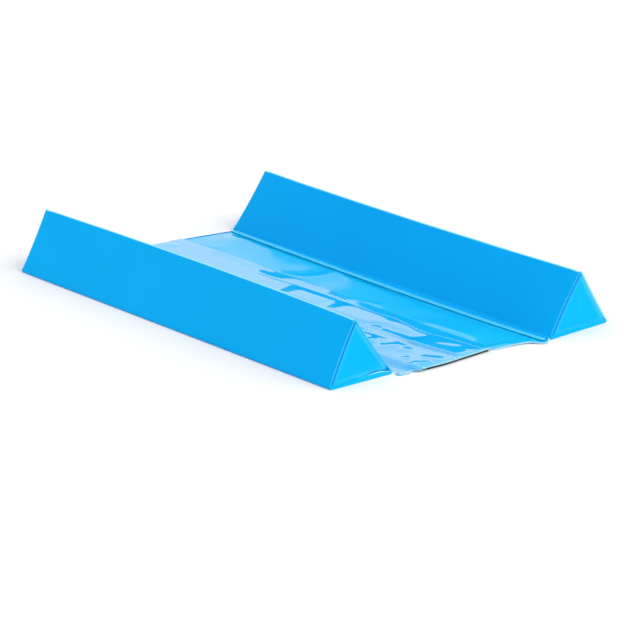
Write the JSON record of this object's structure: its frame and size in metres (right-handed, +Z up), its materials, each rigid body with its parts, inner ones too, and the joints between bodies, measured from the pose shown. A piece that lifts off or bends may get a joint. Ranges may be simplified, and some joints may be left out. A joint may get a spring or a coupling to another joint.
{
  "type": "wedge bolster positioner",
  "caption": "Body positioner with vinyl-covered foam wedge bolsters hinged on a lapped vinyl sheet; hook-and-loop strips set the width of the trough between them.",
  "frame": {"origin": "on the floor, at the middle of the whole part's box", "axes": "+X from the left bolster to the right one, +Y along the bolsters to their rear ends, +Z up"},
  "size_m": [0.425, 0.655, 0.078],
  "materials": {
    "cover_vinyl": "satin",
    "end_vinyl": "satin",
    "flap_vinyl": "gloss",
    "binding": "matte",
    "foam": "matte",
    "hook_tape": "matte",
    "loop_tape": "matte"
  },
  "bodies": {
    "right_base": {"lower_flap": "flap_vinyl", "left_loop_strip": "loop_tape", "right_loop_strip": "loop_tape", "right_seam_lips": "cover_vinyl", "right_seam_binding": "binding"},
    "left_base": {"upper_flap": "flap_vinyl", "left_hook_strip": "hook_tape", "right_hook_strip": "hook_tape", "left_seam_lips": "cover_vinyl", "left_seam_binding": "binding"},
    "left_bolster": {"left_foam_core": "foam", "left_cover_wrap": "cover_vinyl", "left_front_end_panel": "end_vinyl", "left_rear_end_panel": "end_vinyl"},
    "right_bolster": {"right_foam_core": "foam", "right_cover_wrap": "cover_vinyl", "right_front_end_panel": "end_vinyl", "right_rear_end_panel": "end_vinyl"}
  },
  "joints": [
    {"name": "width_adjust", "type": "slide", "parent": "right_base", "child": "left_base", "axis": [-1, 0, 0], "range_m": [-0.005, 0.052]},
    {"name": "left_fold", "type": "hinge", "parent": "left_base", "child": "left_bolster", "pos_m": [-0.1125, 0.0275, 0.0046], "axis": [0, 1, 0], "range_deg": [0, 120]},
    {"name": "right_fold", "type": "hinge", "parent": "right_base", "child": "right_bolster", "pos_m": [0.1125, -0.0275, 0.0046], "axis": [0, -1, 0], "range_deg": [0, 120]}
  ]
}
